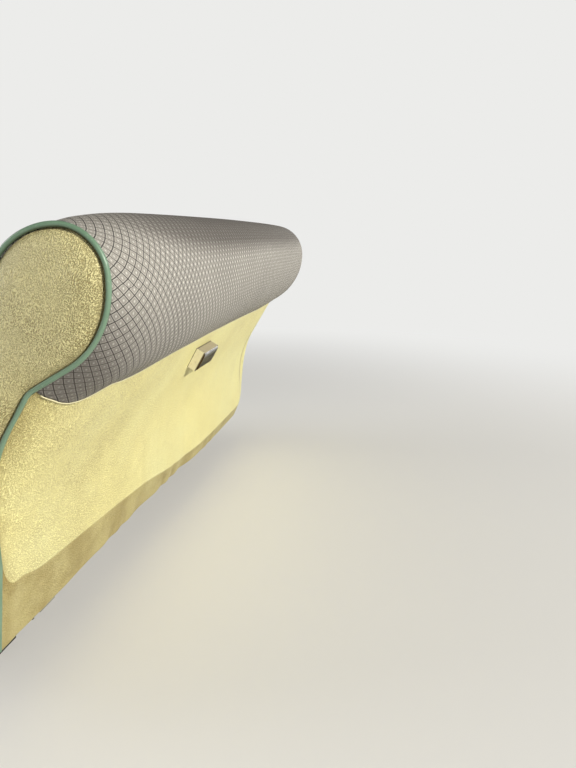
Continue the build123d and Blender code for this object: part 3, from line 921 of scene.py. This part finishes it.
def cushion_pad():
    """The crowned cushion: the outline's rings, each set in and raised, closed above and below."""
    rings = []
    for inset, z in cushion_rings:
        a, b, _ = plan(min(inset, crown_inset))
        if inset > crown_inset:
            shrink = (crown_end - inset) / (crown_end - crown_inset)
            b = (b - crown_y) * shrink + crown_y
            a = a * (1 - (inset - crown_inset) / crown_half_width)
        rings.append(np.column_stack([a, b, np.full(len(a), z)]))
    grid = np.array(rings)
    piece = surface("cushion_cloth", grid, cloth)
    inflate(piece)
    wrap_weave(piece)
    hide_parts("cushion")
    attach(piece, "seat")
    return piece


def wrap_weave(piece):
    """Lays the weave flat over the cushion's top and straight down its sides."""
    co = points_of(piece.data) / MM
    core_x = bench_width / 2 - cushion_corner_radius
    core_y = np.maximum(co[:, 1], cushion_front_y + cushion_corner_radius)
    out = co[:, :2] - np.stack([np.clip(co[:, 0], -core_x, core_x), core_y], axis=1)
    size = np.linalg.norm(out, axis=1, keepdims=True)
    drop = np.maximum(weave_fold_z - co[:, 2:3], 0)
    lay_weave(piece.data, co[:, :2] + out / np.maximum(size, 1e-6) * drop)


def cushion_facing():
    """The vinyl round the cushion's sides: a leaning wall with soft upright folds, tucked in below."""
    outer = []
    inner = []
    for t in np.linspace(0, 1, facing_rows):
        z = facing_top_z - t * (facing_top_z - facing_low_z)
        lean = facing_tuck * t ** 1.5
        a, b, heading = plan(lean + facing_skin)
        side_a, side_b = turn_normals(heading)
        run = np.arange(len(a))
        wave = np.sin(run / 5.3 + 0.6 * np.sin(run / 2.9))
        fold = facing_fold * wave * np.sin(np.pi * t) + facing_bulge * np.sin(np.pi * t)
        outer.append(np.column_stack([a + side_a * fold, b + side_b * fold, np.full(len(a), z)]))
        a, b, _ = plan(lean + facing_wall)
        inner.append(np.column_stack([a, b, np.full(len(a), z)]))
    grid = np.array(outer + inner[::-1]).transpose(1, 0, 2)
    piece = surface("cushion_facing_vinyl", grid, vinyl)
    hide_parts("cushion_facing")
    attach(piece, "seat")
    return piece


def cushion_piping():
    """Piping round the cushion's edge."""
    a, b, _ = plan(0.0)
    path = even(np.column_stack([a, b, np.full(len(a), cushion_edge_z)]), 460)
    cord_along("cushion_edge_piping", path, np.array([0, 0, 1.0]), "cushion_piping")


def inflate(piece):
    """Swells a closed form as stuffed cloth does, with what lies below a height held still.

    The form is remeshed in even squares and simulated with pressure inside and no gravity. Each point then
    keeps its move, eased so that it never passes the cap."""
    scene = bpy.context.scene
    remesh = piece.modifiers.new("remesh", "REMESH")
    remesh.mode = "VOXEL"
    remesh.voxel_size = stuffing_voxel * MM
    baked(piece)
    start = points_of(piece.data)
    held = piece.vertex_groups.new(name="held")
    held.add(np.flatnonzero(start[:, 2] < stuffing_held_z * MM).tolist(), 1.0, "REPLACE")
    cloth_run = piece.modifiers.new("stuffing", "CLOTH")
    cloth_run.settings.use_pressure = True
    cloth_run.settings.uniform_pressure_force = stuffing_pressure
    cloth_run.settings.vertex_group_mass = "held"
    cloth_run.settings.shrink_min = -stuffing_growth
    cloth_run.settings.effector_weights.gravity = 0
    cloth_run.point_cache.frame_end = stuffing_frames
    for number in range(1, stuffing_frames + 1):
        scene.frame_set(number)
    baked(piece)
    scene.frame_set(1)
    move = points_of(piece.data) - start
    size = np.linalg.norm(move, axis=1, keepdims=True)
    cap = stuffing_cap * MM
    move *= cap * np.tanh(size / cap) / np.maximum(size, 1e-9)
    piece.data.vertices.foreach_set("co", (start + move).astype(np.float32).ravel())
    piece.vertex_groups.clear()
    piece.modifiers.new("smooth", "SUBSURF").levels = 1
    baked(piece)
    smooth(piece.data)


def points_of(mesh):
    """A mesh's points as an array."""
    co = np.zeros(len(mesh.vertices) * 3)
    mesh.vertices.foreach_get("co", co)
    return co.reshape(-1, 3)


def baked(piece):
    """Applies the modifiers of a piece to its mesh."""
    shaped = piece.evaluated_get(bpy.context.evaluated_depsgraph_get())
    mesh = bpy.data.meshes.new_from_object(shaped)
    piece.modifiers.clear()
    piece.data = mesh


def panel_welt():
    """The pale folded edge of the vinyl along the seam under the roll: a thin cord partly sunk in it."""
    at = along(panel_stations)
    a, b = seam_point(at)
    side_a, side_b = turn_normals(seam_heading)
    lift = 0.5 * welt_radius
    path = np.column_stack([at.x, a + lift * side_a, b + lift * side_b])
    piece = tube("panel_welt", path[2:-2], welt_radius, 8, welt_finish)
    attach(piece, "seat")


def tube(name, path, radius, sides, finish):
    """A round cord or wire along a path in space, closed at both ends."""
    ahead = np.gradient(path, axis=0)
    ahead /= np.linalg.norm(ahead, axis=1, keepdims=True)
    flat = np.where(np.abs(ahead[:, 2:3]) > 0.7, [[1.0, 0, 0]], [[0, 0, 1.0]])
    side = np.cross(ahead, flat)
    side /= np.linalg.norm(side, axis=1, keepdims=True)
    up = np.cross(side, ahead)
    angle = np.linspace(0, 2 * np.pi, sides, endpoint=False)[None, :, None]
    grid = path[:, None] + radius * (np.cos(angle) * side[:, None] + np.sin(angle) * up[:, None])
    return surface(name, grid, finish)


# Springs under the cushion

def spring_path(x):
    """One zigzag wire seen from above: straight bars joined by half round bends."""
    step = (frame_rear_y - frame_front_y - frame_tube_width) / (spring_bends + 1)
    bend = step / 2
    bar = 2 * (spring_half_width - bend)
    steps = [(bar / 2 + bend, 0, 4)]
    for count in range(spring_bends + 1):
        steps.append((bend, 180.0 if count % 2 == 0 else -180.0, 12))
        steps.append((bar, 0, 4))
    steps[-1] = (bar / 2 + bend, 0, 4)
    start = (np.array([x]), np.array([frame_front_y + frame_tube_width / 2]))
    a, b, _ = travel(start, 0.0, steps)
    rise_z = frame_top_z + spring_wire_radius + seat_gap
    return np.column_stack([a[0], b[0], np.full(a.shape[1], rise_z)])


def zigzag_springs():
    """All the zigzag wires, joined in one piece."""
    wires = []
    for count in range(spring_count):
        path = spring_path((count - (spring_count - 1) / 2) * spring_pitch)
        wires.append(tube("spring", path, spring_wire_radius, 10, wire_finish))
    piece = join("zigzag_springs", wires)
    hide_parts("springs")
    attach(piece, "seat")


def join(name, pieces):
    """One object from several."""
    with bpy.context.temp_override(active_object=pieces[0], selected_editable_objects=pieces):
        bpy.ops.object.join()
    pieces[0].name = name
    return pieces[0]


# Ashtray

def ashtray_place():
    """The middle of the ashtray's back on the panel, and the ways down it and off it."""
    at = Stations(np.array([ashtray_share * body_half]))
    a, b, heading = travel(seam_point(at), seam_heading, panel_steps(at)[:1])
    angle = np.radians(heading[0, -1])
    down = (np.cos(angle), np.sin(angle))
    run = ashtray_drop + ashtray_height / 2
    return (a[0, -1] + down[0] * run, b[0, -1] + down[1] * run), down, (-down[1], down[0])


def ashtray_rounded():
    """The ashtray's case and bin with their edges rounded."""
    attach(softened("ashtray_case", 0.5, case_finish), "seat")
    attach(softened("ashtray_bin", 0.35, bin_finish), "ashtray_bin")


def softened(node, width, finish):
    """A copy of a rigid piece with its facets merged and its sharp edges rounded."""
    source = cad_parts[node]
    work = bmesh.new()
    work.from_mesh(source.data)
    bmesh.ops.remove_doubles(work, verts=work.verts, dist=0.00001)
    bmesh.ops.dissolve_limit(work, angle_limit=np.radians(3), verts=work.verts, edges=work.edges)
    mesh = bpy.data.meshes.new(node + "_rounded")
    work.to_mesh(mesh)
    work.free()
    piece = placed(node + "_rounded", mesh, finish)
    bevel = piece.modifiers.new("edges", "BEVEL")
    bevel.width = width * MM
    bevel.segments = 2
    bevel.limit_method = "ANGLE"
    bevel.angle_limit = np.radians(35)
    piece.modifiers.new("normals", "WEIGHTED_NORMAL")
    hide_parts(node)
    return piece


# Finishes in use

cloth = woven_cloth()
vinyl = grained_vinyl(
    "panel_vinyl", paint(250, 240, 168), paint(254, 248, 182), paint(166, 145, 84),
    depth=0.66, relief=0.0018, kept=0.35,
)
# The end caps take the panel's vinyl with darker colours, as painted shade.
shaded_cap_vinyl = grained_vinyl(
    "cap_vinyl", paint(218, 208, 150), paint(230, 221, 165), paint(134, 118, 70),
    depth=0.84, relief=0.0017, kept=1.0,
)
piping_finish = green_piping()
welt_finish = pale_welt()
wire_finish = spring_steel()
frame_finish = black_paint()
runner_finish = zinc_plate()
case_finish = satin_steel()
bin_finish = bin_chrome()

# Finishes of the frame's own pieces, by the start of their names
node_finishes = {
    "frame_": frame_finish, "slider_": frame_finish, "foot_": frame_finish, "back_bracket_": frame_finish,
    "rail_": runner_finish, "release_bar": runner_finish, "latch_": runner_finish,
    "springs": wire_finish, "release_lever": chrome(), "lever_knob": black_knob(),
    "ashtray_case": case_finish, "ashtray_bin": bin_finish,
}
for name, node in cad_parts.items():
    for start, finish in node_finishes.items():
        if name.startswith(start):
            node.data.materials.clear()
            node.data.materials.append(finish)

backrest_cloth()
back_panel()
for side, sign in (("left", 1), ("right", -1)):
    end_cap(side, sign)
    back_piping(side, sign)
cushion_pad()
cushion_facing()
cushion_piping()
panel_welt()
zigzag_springs()
ashtray_rounded()


# Floor, light and camera

def studio_floor():
    """A pale floor that fades into the backdrop's tone with distance from the bench."""
    f = Finish("studio_floor")
    x, y, _ = f.parts(f.place())
    reach = (x * x + y * y).math("SQRT")
    ground = f.node("ShaderNodeBsdfDiffuse", {"Color": paint(226, 225, 222)})
    glow = f.node("ShaderNodeEmission", {"Color": backdrop_tone, "Strength": 1.0})
    f.output(f.node("ShaderNodeMixShader", {0: reach.between(1.3, 3.2), 1: ground, 2: glow}))
    mesh = bpy.data.meshes.new("studio_floor")
    mesh.from_pydata([(-30, -30, 0), (30, -30, 0), (30, 30, 0), (-30, 30, 0)], [], [(0, 1, 2, 3)])
    mesh.materials.append(f.owner)
    floor = bpy.data.objects.new("studio_floor", mesh)
    bpy.context.collection.objects.link(floor)


def studio_sky():
    """The backdrop's tone where the camera sees it, and otherwise a faint cool light, stronger below."""
    sky = Nodes(bpy.data.worlds.new("studio"))
    bpy.context.scene.world = sky.owner
    straight = sky.node("ShaderNodeLightPath", out="Is Camera Ray")
    seen = straight.math("MAXIMUM", sky.node("ShaderNodeLightPath", out="Is Transmission Ray"))
    _, _, height = sky.parts(sky.node("ShaderNodeTexCoord", out="Generated"))
    strength = sky.node(
        "ShaderNodeMapRange",
        {"Value": height, "From Min": 0.05, "From Max": 0.75, "To Min": 0.26, "To Max": 0.05},
        interpolation_type="SMOOTHSTEP",
    )
    light = sky.node("ShaderNodeBackground", {"Color": (0.92, 0.95, 1.0, 1), "Strength": strength})
    shown = sky.node("ShaderNodeBackground", {"Color": backdrop_tone})
    sky.output(sky.node("ShaderNodeMixShader", {0: seen, 1: light, 2: shown}), "ShaderNodeOutputWorld")


def studio_lamps():
    """A key light high behind the bench, a broad fill at its right end and a broad lamp in front."""
    for name, place, size, power, tint in lamps:
        lamp = bpy.data.lights.new(name, "AREA")
        lamp.shape = "DISK"
        lamp.size = size
        lamp.energy = power
        lamp.color = tint
        holder = bpy.data.objects.new(name, lamp)
        holder.location = place
        holder.rotation_euler = (Vector(lamp_target) - Vector(place)).to_track_quat("-Z", "Y").to_euler()
        bpy.context.collection.objects.link(holder)


def photo_camera():
    """The camera where the photograph was taken: beside the bench's left end, behind it, looking across."""
    right = Vector(camera_right).normalized()
    ahead = Vector(camera_ahead).normalized()
    up = right.cross(ahead).normalized()
    right = ahead.cross(up)
    data = bpy.data.cameras.new("photo_camera")
    data.sensor_width = sensor_mm
    data.lens = focal_px / picture_height_px * sensor_mm
    data.clip_start = 0.02
    camera = bpy.data.objects.new("photo_camera", data)
    turned = Matrix((right, up, -ahead)).transposed().to_4x4()
    camera.matrix_world = Matrix.Translation(camera_place) @ turned
    bpy.context.collection.objects.link(camera)
    bpy.context.scene.camera = camera


studio_floor()
studio_sky()
studio_lamps()
photo_camera()
bpy.context.scene.view_settings.view_transform = "Standard"
